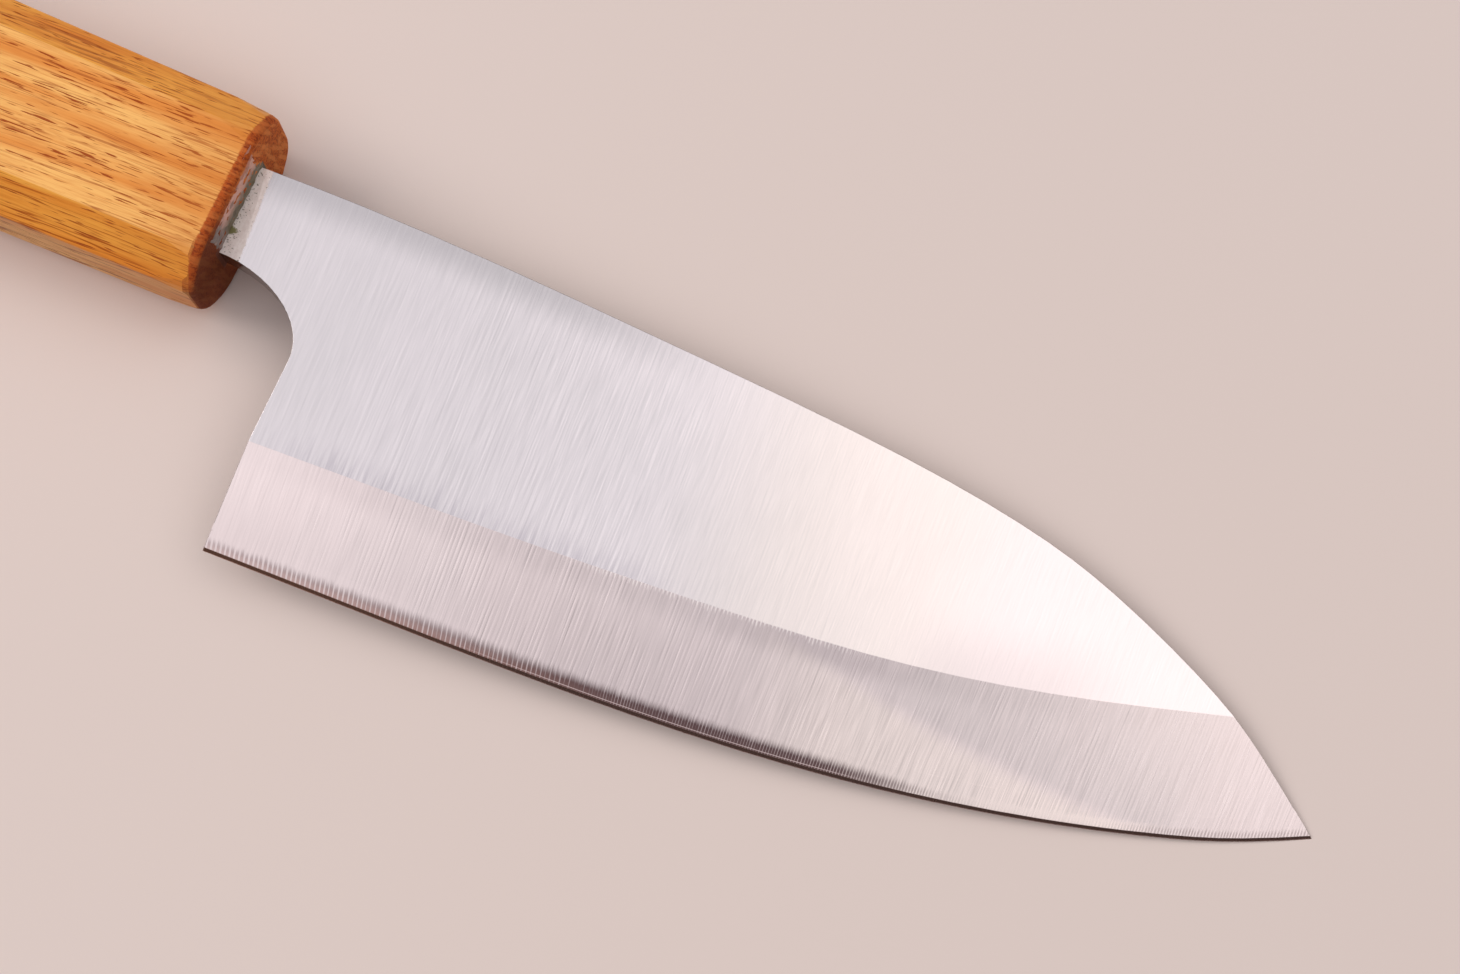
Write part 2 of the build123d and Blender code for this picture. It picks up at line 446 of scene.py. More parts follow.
# %% Handle: rounded ends
MOUTH_ROLL = 1.0
MOUTH_CORNER = 6.6
BUTT_ROLL = 1.5
BUTT_CORNER = 2.0
SANDED_FLARE = 0.10
CORNER_CUTS = 4
ROLL_CUTS = 5


def outline(x, corner):
    """The directions round the stick at x and how far it reaches in each, with corners of a radius."""
    sides = [(way * side, reach - FLARE * x) for way, reach in SIDES for side in (1, -1)]
    sides.sort(key=lambda side: math.atan2(side[0].z, side[0].y))
    for (way, reach), (after, far) in zip(sides, sides[1:] + sides[:1]):
        yield way, reach
        shared = way.dot(after)
        near, far = reach - corner, far - corner
        middle = ((near - far * shared) * way + (far - near * shared) * after) / (1 - shared ** 2)
        for cut in range(1, CORNER_CUTS + 1):
            between = way.slerp(after, cut / (CORNER_CUTS + 1))
            yield between, middle.dot(between) + corner


def roll_over(x, away, radius, corner):
    """Rolls the sides over into the end at x, with flat cuts on a quarter circle."""
    for way, reach in outline(x, corner):
        middle = way * (reach - radius)
        middle.x = x - (radius + away.dot(middle)) / away.x
        for cut in range(1, ROLL_CUTS + 1):
            angle = math.pi / 2 * cut / (ROLL_CUTS + 1)
            outward = (math.cos(angle) * way + math.sin(angle) * away).normalized()
            plane_off(middle + radius * outward, outward)


for way, reach in outline(0, MOUTH_CORNER):
    plane_off(way * reach, way + Vector((SANDED_FLARE, 0, 0)))
roll_over(MOUTH_REACH, MOUTH_AWAY, MOUTH_ROLL, MOUTH_CORNER)
roll_over(-HANDLE_LENGTH, Vector((-1, 0, 0)), BUTT_ROLL, BUTT_CORNER)
mode("OBJECT")
print("handle has", len(handle.data.polygons), "faces with both ends rounded")

# %% [markdown]
# The tang sits in a bore that tapers with it. Nobody sees it in the finished knife, but the handle is
# also a part by itself, and a handle without its bore would be wrong there. A tapered peg takes it out.

# %% Handle: the bore
NECK_TOP = 0.13 * BLADE_HEIGHT
NECK_HEIGHT = 12.7
NECK_MIDDLE = NECK_TOP - NECK_HEIGHT / 2
RESIN_GAP = 0.7
BORE_DEPTH = 82.0
BORE_END = (7.4, 4.2)
BORE_MOUTH = (NECK_HEIGHT + 2 * RESIN_GAP, NECK_THICK + 2 * RESIN_GAP)


def select_end(piece, outward):
    """Selects the face that looks most nearly outward, in edit mode."""
    mode("EDIT")
    bpy.ops.mesh.select_mode(type="FACE")
    bpy.ops.mesh.select_all(action="DESELECT")
    mode("OBJECT")
    max(piece.data.polygons, key=lambda side: side.normal.dot(outward)).select = True
    mode("EDIT")


def choose(piece):
    """Selects one piece alone and makes it the active one."""
    bpy.ops.object.select_all(action="DESELECT")
    piece.select_set(True)
    bpy.context.view_layer.objects.active = piece


def finish_modifier(piece, kind, **settings):
    """Adds a modifier with its settings and applies it."""
    modifier = piece.modifiers.new(kind.lower(), kind)
    for name, value in settings.items():
        setattr(modifier, name, value)
    choose(piece)
    bpy.ops.object.modifier_apply(modifier=modifier.name)


def carve(piece, cutter):
    """Takes the cutter's shape out of the piece, and clears the cutter away."""
    finish_modifier(piece, "BOOLEAN", object=cutter, operation="DIFFERENCE", solver="EXACT")
    bpy.data.objects.remove(cutter)


def lay_down(piece):
    """Turns a finished piece from the knife's own frame into the scene, with its place in its mesh."""
    piece.matrix_world = LAID_DOWN
    choose(piece)
    bpy.ops.object.transform_apply(location=True, rotation=True, scale=True)


across, thick = BORE_MOUTH
peg_low = (-BORE_DEPTH, NECK_MIDDLE - across / 2, -thick / 2)
peg = new_block("peg", peg_low, (0, NECK_MIDDLE + across / 2, thick / 2))
select_end(peg, Vector((1, 0, 0)))
bpy.ops.mesh.extrude_region_move(TRANSFORM_OT_translate={"value": (OVERRUN, 0, 0)})
select_end(peg, Vector((-1, 0, 0)))
bpy.ops.transform.translate(value=(0, -NECK_MIDDLE, 0))
bpy.ops.transform.resize(value=(1, BORE_END[0] / across, BORE_END[1] / thick), center_override=(0, 0, 0))
mode("OBJECT")
carve(handle, peg)
lay_down(handle)
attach(handle, "root")
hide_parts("handle")
print("handle bored,", round(handle.dimensions.x / MM, 1), "mm long")

# %% [markdown]
# Resin keeps water out of the bore. It was wiped round the neck by finger, so it is a thin skin that
# runs out on the wood in a ragged border, and it hardly climbs the steel. It could be painted on the
# wood, but a smear has thickness that catches light. So it is a flat-topped mound whose foot is sunk in
# the wood. It is finely divided and pushed about by cloudy noise, and its border is ragged just where
# the slope comes out of the wood. It is turned a little round the neck, because the finger didn't wipe
# square, and the neck is cut out of it.

# %% Resin seal
SEAL_PAST_NECK = 0.35
SEAL_RISE = 0.15
SEAL_TURN = 6.0
SEAL_FRONT = 8.75
SEAL_BACK = -7.0
SEAL_SLOPE = 1.3
SEAL_UNDER = 0.4
SEAL_OVER = 0.06
SEAL_LUMPS = 0.50
SEAL_CUTS = 55
LUMP_SIZE = 0.95
SMOOTH_BELOW = math.radians(40)
NECK_SLACK = 0.02

across = NECK_HEIGHT + 2 * SEAL_PAST_NECK + SEAL_SLOPE
thick = SEAL_FRONT - SEAL_BACK + SEAL_SLOPE
seal_low = (-SEAL_UNDER, -across / 2, -thick / 2)
seal = new_block("resin_seal", seal_low, (SEAL_OVER, across / 2, thick / 2))
select_end(seal, Vector((1, 0, 0)))
shrink = (1, 1 - 2 * SEAL_SLOPE / across, 1 - 2 * SEAL_SLOPE / thick)
bpy.ops.transform.resize(value=shrink, center_override=(0, 0, 0))
bpy.ops.mesh.select_all(action="SELECT")
bpy.ops.mesh.subdivide(number_cuts=SEAL_CUTS)
mode("OBJECT")
lumps = bpy.data.textures.new("lumps", "CLOUDS")
lumps.noise_scale = LUMP_SIZE
finish_modifier(seal, "DISPLACE", texture=lumps, direction="X", strength=SEAL_LUMPS)
seal.matrix_world = (
    Matrix.Translation((MOUTH_REACH, NECK_MIDDLE + SEAL_RISE, 0))
    @ MOUTH_AWAY.to_track_quat("X", "Z").to_matrix().to_4x4()
    @ Matrix.Translation((0, 0, -BACK_LEVEL))
    @ Matrix.Rotation(math.radians(SEAL_TURN), 4, "X")
    @ Matrix.Translation((0, 0, BACK_LEVEL + (SEAL_FRONT + SEAL_BACK) / 2))
)
bpy.ops.object.transform_apply(location=True, rotation=True, scale=True)
neck_low = (-OVERRUN, NECK_TOP - NECK_HEIGHT + NECK_SLACK, BACK_LEVEL + NECK_SLACK)
neck_high = (OVERRUN, NECK_TOP - NECK_SLACK, -BACK_LEVEL - NECK_SLACK)
neck = new_block("neck", neck_low, neck_high)
mode("OBJECT")
carve(seal, neck)
lay_down(seal)
bpy.ops.object.shade_smooth_by_angle(angle=SMOOTH_BELOW)
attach(seal, "root")
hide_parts("mouth_seal")
print("seal has", len(seal.data.polygons), "faces")

# %% [markdown]
# The blade's finishes change at two lines: the ridge, where the flat side turns into the wide bevel, and
# the cutting edge. Their heights could be copied from a drawing, but then a change of the solids would
# leave the finish behind. So they are felt for on the solids, with rays from below for the edge and from
# above for the ridge, at stations along the blade.

# %% Feeling for the edge and the ridge
FIRST_STATION = 15
STATION_STEP = 6.6
STATIONS = [FIRST_STATION + STATION_STEP * step for step in range(23)]
LINES_END = STATIONS[-1] + 6
RIDGE_MEETS_SPINE = 146
SPINE_FALL = 6.0
LEAST_BEVEL = 3.0
FEELER = 60
UNDER_RIDGE = 0.004
HALVINGS = 12
EDGE_LEVEL = BACK_LEVEL + 0.1
SPINE_LEVEL = -1.0


def feel(node, start, way):
    """Where a ray from a point of the knife's own frame meets a node, in that frame, or None."""
    found, place, *_ = frame["nodes"][node].ray_cast(at(*start), spin @ Vector(way))
    return LAID_DOWN.inverted() @ place if found else None


def is_flat_side(x, y):
    """Whether the flat side is what lies under this place, and not the wide bevel."""
    place = feel("iron_body", (x, y, FEELER), (0, 0, -1))
    return place is not None and place.z > -BACK_LEVEL - FACE_FALL * x - UNDER_RIDGE


def ridge_at(x, edge):
    """The height of the ridge line, closed in on by halving."""
    low, high = edge + LEAST_BEVEL, -SPINE_FALL * x / RIDGE_MEETS_SPINE
    for _ in range(HALVINGS):
        middle = (low + high) / 2
        low, high = (low, middle) if is_flat_side(x, middle) else (middle, high)
    return high


EDGE_LINE = [(x, feel("steel_layer", (x, -FEELER, EDGE_LEVEL), (0, 1, 0)).y) for x in STATIONS]
RIDGE_LINE = [(x, ridge_at(x, edge)) for x, edge in EDGE_LINE if x < RIDGE_MEETS_SPINE]
SPINE_LINE = [(x, feel("iron_body", (x, FEELER, SPINE_LEVEL), (0, -1, 0)).y) for x, y in RIDGE_LINE]
(x0, y0), (x1, y1) = RIDGE_LINE[-2:]
RIDGE_LINE.append((LINES_END, y1 + (y1 - y0) / (x1 - x0) * (LINES_END - x1)))
print("edge", [round(y, 1) for x, y in EDGE_LINE])
print("ridge", [round(y, 1) for x, y in RIDGE_LINE])

# %% [markdown]
# The bench for the blade also knows these lines. They go into float curves, which any node can read, so
# a finish can follow the edge at a height of half a millimetre all along its curve.

# %% A bench for the blade
WELD_HEEL = 1.3
WELD_TIP = 0.6
WELD_FALL = (WELD_HEEL - WELD_TIP) / BLADE_REACH


class Blade(Bench):
    """A bench with the blade's own lines: heights over the edge, the ridge and the weld."""

    def __init__(self, name, roughness):
        super().__init__(name, roughness, metallic=1.0)
        self.over_edge = self.math("SUBTRACT", self.y, self.curve(EDGE_LINE))
        self.over_ridge = self.math("SUBTRACT", self.y, self.curve(RIDGE_LINE))
        self.under_spine = self.math("SUBTRACT", self.curve(SPINE_LINE), self.y)
        self.over_weld = self.line(-BACK_LEVEL - WELD_HEEL, (1.0, self.z), (WELD_FALL, self.x))
        self.up = self.lean((0, 0, 1))

    def curve(self, stations):
        """A smooth curve along the blade through stations, which are pairs of place and height."""
        node = self.put("ShaderNodeFloatCurve")
        node.mapping.extend = "EXTRAPOLATED"
        least = min(height for place, height in stations)
        span = max(height for place, height in stations) - least
        points = node.mapping.curves[0].points
        while len(points) < len(stations):
            points.new(0.5, 0.5)
        for point, (place, height) in zip(points, stations):
            point.location = (place / LINES_END, (height - least) / span)
        node.mapping.update()
        self.feed(node.inputs["Value"], self.times(self.x, 1 / LINES_END))
        return self.math("MULTIPLY_ADD", node.outputs[0], span, least)


# %% [markdown]
# The whole blade was ground on a wide belt, across its length and a little out of square. Such marks
# could be modelled, but they are microns deep. So they are noises drawn out along the grinding, which
# vary the steel's tone and roughness and tilt its face a hair. The strongest is a regular ripple from the
# belt's own rhythm, coarser on the flat side than on the bevel, and clearest in the middle of the blade.
# How strong it is along the blade is a curve of its own for each side.

# %% Steel: grinding marks
GRIND_LEAN = 0.03
TIP_LEAN = -0.01
FLAT_PITCH = 0.80
BEVEL_PITCH = 0.60
FLAT_RIPPLE = (
    (0, 0.10), (15, 0.25), (28, 0.42), (42, 0.60), (58, 0.50), (74, 0.24), (90, 0.15), (110, 0.10),
    (LINES_END, 0.10),
)
BEVEL_RIPPLE = (
    (0, 0.30), (16, 0.40), (30, 0.80), (50, 1.35), (66, 1.15), (80, 0.90), (96, 0.45), (112, 0.50),
    (124, 0.80), (142, 0.75), (LINES_END, 0.4),
)
MARK_DEPTH = 4e-6


def grinding(blade, on_bevel):
    """The belt's marks, as a height from 0 to 1 that is about 0.5 on average."""
    lean = blade.along(70, 120, GRIND_LEAN, TIP_LEAN)
    across = blade.line(0.0, (1.0, blade.x), (1.0, blade.times(lean, blade.y)))
    place = (across, blade.y, blade.z)
    fine = blade.noise((0.28, 6, 9), place, detail=2, roughness=0.6, seed=3)
    broad = blade.noise((1.3, 22, 9), place, detail=1, seed=11)
    wander = blade.noise((7, 60, 40), place, detail=1, seed=17)
    turns = blade.line(1 / FLAT_PITCH, (1 / BEVEL_PITCH - 1 / FLAT_PITCH, on_bevel))
    phase = blade.times(turns, across, 2 * math.pi)
    phase = blade.line(0.0, (1.0, phase), (5.0, wander))
    wave = blade.math("SINE", phase)
    sharp = blade.math("SINE", blade.times(phase, 2.0))
    ripple = blade.line(0.0, (0.5, wave), (0.22, sharp))
    present = blade.step(blade.noise((4, 9, 9), place, detail=2, seed=23), 0.30, 0.62, 0.35, 1.0)
    least, most = blade.step(on_bevel, 0.4, 0.6, 0.6, 0.25), blade.step(on_bevel, 0.4, 0.6, 1.2, 1.55)
    uneven = blade.step(blade.noise((0.9, 7, 9), place, detail=2, seed=27), 0.30, 0.70, least, most)
    present = blade.times(present, uneven)
    low = blade.step(blade.over_ridge, 3, 15, 1.0, 0.5)
    on_flat = blade.times(blade.curve(FLAT_RIPPLE), low)
    strength = blade.blend_number(on_bevel, on_flat, blade.curve(BEVEL_RIPPLE))
    ripple = blade.times(ripple, blade.times(present, strength))
    bright = blade.step(blade.noise((0.45, 26, 9), place, detail=1, seed=29), 0.66, 0.76)
    hair = blade.noise((0.16, 6, 9), place, detail=1, seed=35)
    before, past = blade.along(22, 40, 0.5, 1.0), blade.along(60, 76, 1.0, 0.3)
    mid_flat = blade.times(before, past)
    hairy = blade.blend_number(on_bevel, mid_flat, blade.along(84, 98, 1.0, 1.7))
    hair = blade.times(hairy, blade.line(-0.5, (1.0, hair)))
    broad = blade.times(broad, blade.step(on_bevel, 0.4, 0.6, 0.08, 0.45))
    bright = blade.times(bright, on_bevel)
    return blade.line(0.0, (0.60, fine), (0.62, ripple), (1.0, broad), (0.26, bright), (1.0, hair))


# %% [markdown]
# Where the belt left the flat side it dug in, and the marks stand darker just above the ridge. A few
# bright ticks hang from the ridge into the bevel. They could be drawn as an image, but an image would fix
# their size. They are worked out from the blade's lines instead, as a share of their own from 0 to 1.

# %% Steel: the fringe over the ridge and the ticks under it
FRINGE_REACH = 5.0
TICKS_REACH = 1.0
TICKS_PITCH = 0.52


def fringe(blade):
    """How dark the dug-in marks over the ridge are, from 0 to 1."""
    across = blade.line(0.0, (1.0, blade.x), (GRIND_LEAN, blade.y))
    place = (across, blade.y, blade.z)
    strokes = blade.noise((0.34, 7, 9), place, detail=2, roughness=0.6, seed=31)
    length = blade.noise((0.9, 9, 9), place, detail=2, seed=37)
    reach = blade.times(length, FRINGE_REACH * 1.6)
    share = blade.math("DIVIDE", blade.over_ridge, reach)
    fade = blade.step(share, 0.0, 1.0, 1.0, 0.0)
    above = blade.step(blade.over_ridge, -0.02, 0.04)
    along = blade.times(blade.along(12, 26), blade.along(58, 84, 1.0, 0.0))
    drawn = blade.times(blade.step(strokes, 0.34, 0.66), fade)
    return blade.times(drawn, above, along)


def ticks(blade):
    """Bright ticks that hang from the ridge into the bevel, from 0 to 1."""
    across = blade.line(0.0, (1.0, blade.x), (0.1, blade.y))
    place = (across, blade.y, blade.z)
    wander = blade.noise((2, 40, 40), place, detail=1, seed=73)
    wave = blade.math("SINE", blade.line(0.0, (2 * math.pi / TICKS_PITCH, across), (7.0, wander)))
    length = blade.noise((0.7, 40, 40), place, detail=1, seed=71)
    depth = blade.line(0.0, (-1.0, blade.over_ridge), (-1.6 * TICKS_REACH, length))
    fade = blade.step(depth, -0.7, 0.0, 1.0, 0.0)
    along = blade.times(blade.along(54, 66), blade.along(88, 106, 1.0, 0.0))
    return blade.times(blade.step(wave, 0.0, 0.8), fade, along)


# %% [markdown]
# On the bevel the honing stone reached only the last 2 mm. By the heel it left a comb of short dark
# strokes with bright steel between them. Further on they close to a dark band, which fades before the tip
# and leaves paler strokes. A row of thin solids could stand for them, but they have no height. So a sine
# makes the teeth, noise makes them ragged, and two curves say how dark they are and how far closed.

# %% Steel: the comb over the edge
COMB_PITCH = 0.66
FINE_COMB_PITCH = 0.40
HAZE = (
    (0, 0.0), (14, 0.30), (22, 0.48), (30, 0.70), (38, 0.86), (50, 1.0), (60, 1.0), (70, 1.0), (80, 1.0),
    (90, 1.0), (98, 0.92), (104, 0.74), (110, 0.38), (116, 0.08), (LINES_END, 0.0),
)
STROKES = (
    (0, 0.35), (14, 0.42), (24, 0.50), (42, 0.50), (60, 0.48), (72, 0.42), (90, 0.38), (104, 0.48),
    (114, 0.30), (124, 0.14), (136, 0.22), (146, 0.50), (LINES_END, 0.50),
)


def comb(blade):
    """The honing comb over the edge: how dark it is, and how high in the comb the place lies."""
    lean = blade.along(50, 95, 0.20, 0.06)
    across = blade.line(0.0, (1.0, blade.x), (1.0, blade.times(lean, blade.over_edge)))
    place = (across, blade.y, blade.z)
    wander = blade.noise((3, 50, 50), place, detail=1, seed=41)
    coarse = blade.math("SINE", blade.line(0.0, (2 * math.pi / COMB_PITCH, across), (6.0, wander)))
    dense = blade.math("SINE", blade.line(0.0, (2 * math.pi / FINE_COMB_PITCH, across), (9.0, wander)))
    wave = blade.blend_number(blade.along(62, 70), coarse, dense)
    haze = blade.curve(HAZE)
    gap = blade.noise((0.7, 50, 50), place, detail=2, seed=47)
    shut = blade.line(0.25, (-0.62, haze), (-1.2, gap))
    teeth = blade.step(wave, shut, blade.line(0.5, (1.0, shut)))
    ragged = blade.noise((0.45, 50, 50), place, detail=2, roughness=0.7, seed=53)
    top = blade.line(0.85, (1.1, ragged), (0.90, haze))
    height = blade.math("DIVIDE", blade.over_edge, top)
    band = blade.step(height, 0.50, 1.22, 1.0, 0.0)
    stroke = blade.times(teeth, blade.curve(STROKES), blade.step(height, 0.0, 0.8, 0.55, 1.0))
    filled = blade.line(0.0, (1.0, blade.along(45, 72, 0.44, 0.64)), (0.54, teeth))
    upward_fade = blade.step(height, blade.along(46, 72, -0.1, 0.40), 1.2, 1.0, 0.40)
    haze = blade.times(haze, blade.times(filled, upward_fade))
    stroke = blade.times(stroke, blade.math("SUBTRACT", 1.0, haze))
    return blade.times(blade.line(0.0, (1.0, haze), (1.0, stroke)), band), height


# %% [markdown]
# The steel's colours are laid over each other like glazes. The lowest are the tones of the two sides, which
# are painted reflections: the flat one as if it mirrored the cool tent overhead, the bevel a warmer wall.
# On the flat side painted shade dims it by the spine near the heel, and painted reflections make it warmer
# from the middle on, with a pinkish painted shade low down before the tip. The bevel is hazy over the edge,
# has a strip of painted shade under the ridge, and before the tip its first facet is finer and a painted
# highlight makes it brighter. Lamps could make such patches, but they would wander with the view. As
# painted glazes they stay put.

# %% Steel: the tones of both sides, with painted shade and painted reflections
FACET_START = 88
FACET_LEAN = 3.3
UNDER_RIDGE_PAINTED_SHADE = (
    (0, 0.05), (20, 0.12), (32, 0.24), (60, 0.22), (76, 0.26), (88, 0.62), (100, 0.66), (112, 0.52),
    (124, 0.34), (138, 0.15), (150, 0.0), (LINES_END, 0.0),
)


def flat_painted_reflections(blade, colour):
    """The flat side's tone with its patches of painted shade and painted reflection."""
    # Painted shade: the flat side is dimmed by the spine near the heel.
    by_spine = blade.step(blade.under_spine, 0.4, 5.5, 1.0, 0.0)
    painted_shade = blade.times(by_spine, blade.along(42, 72, 0.75, 0.0))
    colour = blade.blend(painted_shade, colour, (0.47, 0.445, 0.46))
    # Painted reflection tones: warmer from the middle on and towards the tip.
    colour = blade.blend(blade.along(62, 88), colour, (0.71, 0.652, 0.635))
    # Painted shade, pinkish, low down before the tip.
    low = blade.step(blade.over_ridge, 0, 10, 0.36, 0.0)
    pink_painted_shade = blade.times(blade.along(98, 112), blade.along(122, 136, 1.0, 0.0), low)
    colour = blade.blend(blade.along(100, 118), colour, (0.72, 0.655, 0.662))
    return blade.blend(pink_painted_shade, colour, (0.50, 0.448, 0.456))


def bevel_haze_and_painted_reflections(blade, colour):
    """The wide bevel's tone with its haze, a strip of painted shade under the ridge, and painted
    reflections of its facets before the tip.
    """
    by_edge = blade.step(blade.over_edge, 1.0, 13, 1.0, 0.0)
    hazed = blade.times(by_edge, blade.along(70, 108, 0.42, 0.0))
    colour = blade.blend(hazed, colour, (0.52, 0.445, 0.45))
    # Painted shade: a dim strip under the ridge.
    under_ridge = blade.step(blade.over_ridge, -4.4, -1.5)
    painted_shade = blade.times(under_ridge, blade.curve(UNDER_RIDGE_PAINTED_SHADE))
    colour = blade.blend(painted_shade, colour, (0.50, 0.430, 0.435))
    # Painted reflections of the facets before the tip: darker and pinkish beyond the facet's border, and a
    # painted highlight on the finer first facet.
    facet = blade.line(-FACET_START, (1.0, blade.x), (FACET_LEAN, blade.over_ridge))
    fading = blade.along(142, 157, 0.55, 0.2)
    beyond_painted_reflection = blade.times(blade.step(facet, -4, 3), fading, blade.along(96, 112))
    colour = blade.blend(beyond_painted_reflection, colour, (0.60, 0.534, 0.526))
    fine = blade.times(blade.step(facet, -8, 1.5, 1.0, 0.0), blade.along(80, 104), 0.66)
    return blade.blend(fine, colour, (0.84, 0.730, 0.678))


# %% [markdown]
# The honing strokes are brownish at their foot and blacker at their upper end. Low among them a painted
# highlight draws a thin bright line in the middle of the blade, and where they fade before the tip a
# painted highlight makes the steel paler.
# Both could be further bevels of the solids, but they are thinner than a hair. So they are glazes too, at
# fixed heights over the edge.

# %% Steel: what the honing leaves, and painted highlights
GLINT_HEIGHT = 0.56
PALE_HEIGHT = 1.0


def honed(blade, colour, on_bevel):
    """The comb of strokes, laid over the colour."""
    dark, height = comb(blade)
    foot = blade.blend(blade.along(30, 80), (0.29, 0.165, 0.145), (0.125, 0.074, 0.074))
    stroke = blade.blend(blade.step(height, 0.25, 0.95), foot, (0.105, 0.066, 0.070))
    return blade.blend(blade.times(dark, on_bevel), colour, stroke)


def off_height(blade, height):
    """How far the place is from a line at a height over the edge."""
    return blade.math("ABSOLUTE", blade.line(-height, (1.0, blade.over_edge)))


def polished_painted_highlights(blade, colour, on_bevel):
    """The painted highlights, a paler band before the tip and a thin bright line, laid over the colour."""
    # Painted highlight: a paler band low on the bevel before the tip.
    pale_painted_highlight = blade.step(off_height(blade, PALE_HEIGHT), 0.2, 0.9, 1.0, 0.0)
    pale_painted_highlight = blade.times(pale_painted_highlight, blade.along(112, 124, 0.0, 0.7), blade.along(134, 148, 1.0, 0.1))
    colour = blade.blend(blade.times(pale_painted_highlight, on_bevel), colour, (0.84, 0.73, 0.69))
    # Painted highlight: a thin bright line just over the edge's micro-bevel, in the middle of the blade.
    glint_painted_highlight = blade.step(off_height(blade, GLINT_HEIGHT), 0.01, 0.08, 1.0, 0.0)
    shown = blade.times(blade.along(44, 66, 0.0, 0.65), blade.along(98, 108, 1.0, 0.0))
    return blade.blend(blade.times(glint_painted_highlight, shown), colour, (0.75, 0.60, 0.58))


# %% [markdown]
# Beside the handle a strip was ground again. It is pale and chalky, with nicks along its borders and an
# olive spot of resin. It could be a face of its own in the solids, but its border is ragged and has no
# depth. So a slanted line that noise frays marks it out, and inside it the steel is less of a mirror.

# %% Steel: the strip beside the handle
STRIP_MIDDLE = 2.65
STRIP_SKEW = 0.9 / NECK_HEIGHT
SPOT_HEIGHT = -2.3


def neck_strip(blade):
    """How far the place lies inside the strip."""
    ragged = blade.noise((1.4, 0.5, 9), detail=3, roughness=0.7, seed=51)
    start = STRIP_MIDDLE + STRIP_SKEW * NECK_MIDDLE - 0.25
    return blade.math("SUBTRACT", blade.line(start, (-STRIP_SKEW, blade.y), (0.5, ragged)), blade.x)


def stains(blade, inside):
    """Nicks along both borders of the strip, and the spot of resin by the handle."""
    nicks = blade.noise((0.30, 0.20, 9), detail=1, seed=57)
    by_handle = blade.along(1.0, 2.0, 0.10, 0.0)
    by_border = blade.step(inside, 0.1, 0.6, 0.055, 0.0)
    nicks = blade.step(blade.line(0.0, (1.0, nicks), (1.0, by_handle), (1.0, by_border)), 0.72, 0.78)
    off = blade.line(-SPOT_HEIGHT, (1.0, blade.y), (0.9, blade.noise((0.4, 0.4, 9), seed=59)))
    off = blade.line(0.0, (1.0, blade.math("ABSOLUTE", off)), (0.55, blade.x))
    return nicks, blade.step(off, 0.62, 0.92, 1.0, 0.0)


def chalked(blade, colour, on_face):
    """The strip laid over the colour, and where it is."""
    inside = neck_strip(blade)
    strip = blade.times(blade.step(inside, -0.08, 0.12), on_face)
    chalky = blade.step(blade.noise((0.5, 0.9, 9), detail=3, roughness=0.7, seed=63), 0.35, 0.65)
    colour = blade.blend(strip, colour, blade.blend(chalky, (0.84, 0.745, 0.71), (0.95, 0.87, 0.84)))
    nicks, spot = stains(blade, inside)
    colour = blade.blend(blade.times(strip, nicks), colour, (0.20, 0.165, 0.12))
    return blade.blend(blade.times(strip, spot), colour, (0.24, 0.22, 0.09)), strip


# %% [markdown]
# Now the glazes come together. The second bevel is painted dark, as a painted reflection of the dark under
# the horizon, and the walls of the outline are a dark brown. The belt leaves the arrises a hair round. They
# could be rounded in the mesh, but a bevel node rounds them in the shading alone and leaves the solids as
# they are. It is kept off the weld, which is no arris.

# %% Steel: all together
WALL_BROWN = (0.34, 0.27, 0.24)
ARRIS_SHEEN = 0.12
WELD_MARGIN = 0.12


def arris_normal(blade):
    """The face's normal, rounded over at the arrises and left alone at the weld."""
    rounded = blade.put("ShaderNodeBevel", samples=6)
    rounded.inputs["Radius"].default_value = ARRIS_SHEEN * MM
    plain = blade.put("ShaderNodeNewGeometry").outputs["Normal"]
    off_weld = blade.step(blade.math("ABSOLUTE", blade.over_weld), WELD_MARGIN, WELD_MARGIN * 1.6)
    return blade.blend(off_weld, plain, rounded.outputs[0], data="VECTOR")


